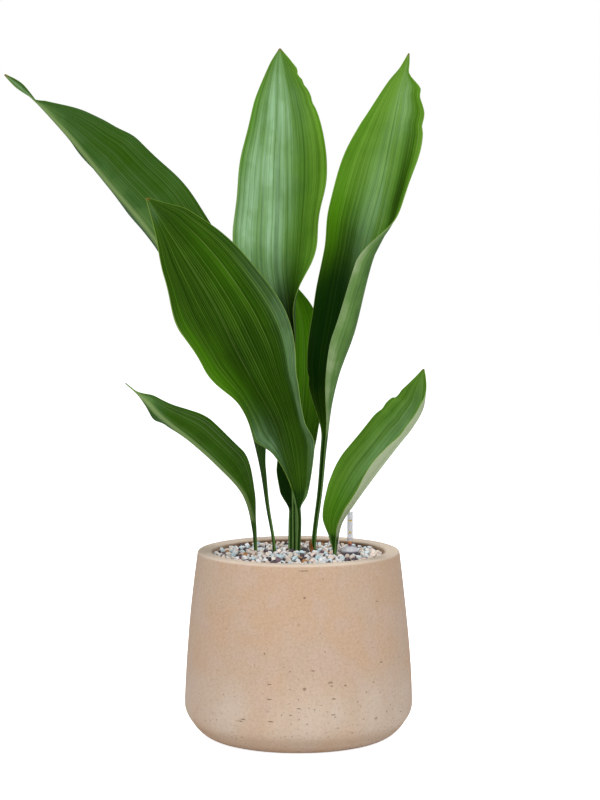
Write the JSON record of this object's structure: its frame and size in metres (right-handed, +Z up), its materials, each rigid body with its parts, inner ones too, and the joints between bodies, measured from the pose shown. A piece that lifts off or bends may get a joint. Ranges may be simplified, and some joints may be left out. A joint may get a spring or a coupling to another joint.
{
  "type": "potted cast iron plant",
  "caption": "Cast iron plant with broad arching leaves in a round beige concrete planter, topped with mineral granules and a water gauge.",
  "frame": {"origin": "centre of the planter's flat foot", "axes": "+Z up the planter's axis, -Y towards the side the plant is looked at from, +X to that viewer's right"},
  "size_m": [0.4312, 0.2572, 0.6951],
  "materials": {
    "planter_concrete": "matte",
    "granules": "matte",
    "leaf_green": "satin",
    "rhizome_bark": "matte",
    "dry_sheath": "matte",
    "gauge_grey": "satin",
    "gauge_clear": "gloss",
    "float_white": "matte",
    "rod_red": "satin"
  },
  "bodies": {
    "planted_pot": {"planter": "planter_concrete", "substrate": "granules", "rhizome": "rhizome_bark", "leaf_rear_left": "leaf_green", "leaf_rear_middle": "leaf_green", "leaf_right": "leaf_green", "leaf_front": "leaf_green", "leaf_low_left": "leaf_green", "leaf_low_right": "leaf_green", "leaf_rear_low": "leaf_green", "dry_sheath": "dry_sheath", "gauge_housing": "gauge_grey", "gauge_cap": "gauge_clear"},
    "float": {"gauge_float": "float_white", "gauge_rod": "rod_red"}
  },
  "joints": [
    {"name": "float_rise", "type": "slide", "parent": "planted_pot", "child": "float", "axis": [0, 0, 1], "range_m": [0, 0.025]}
  ]
}
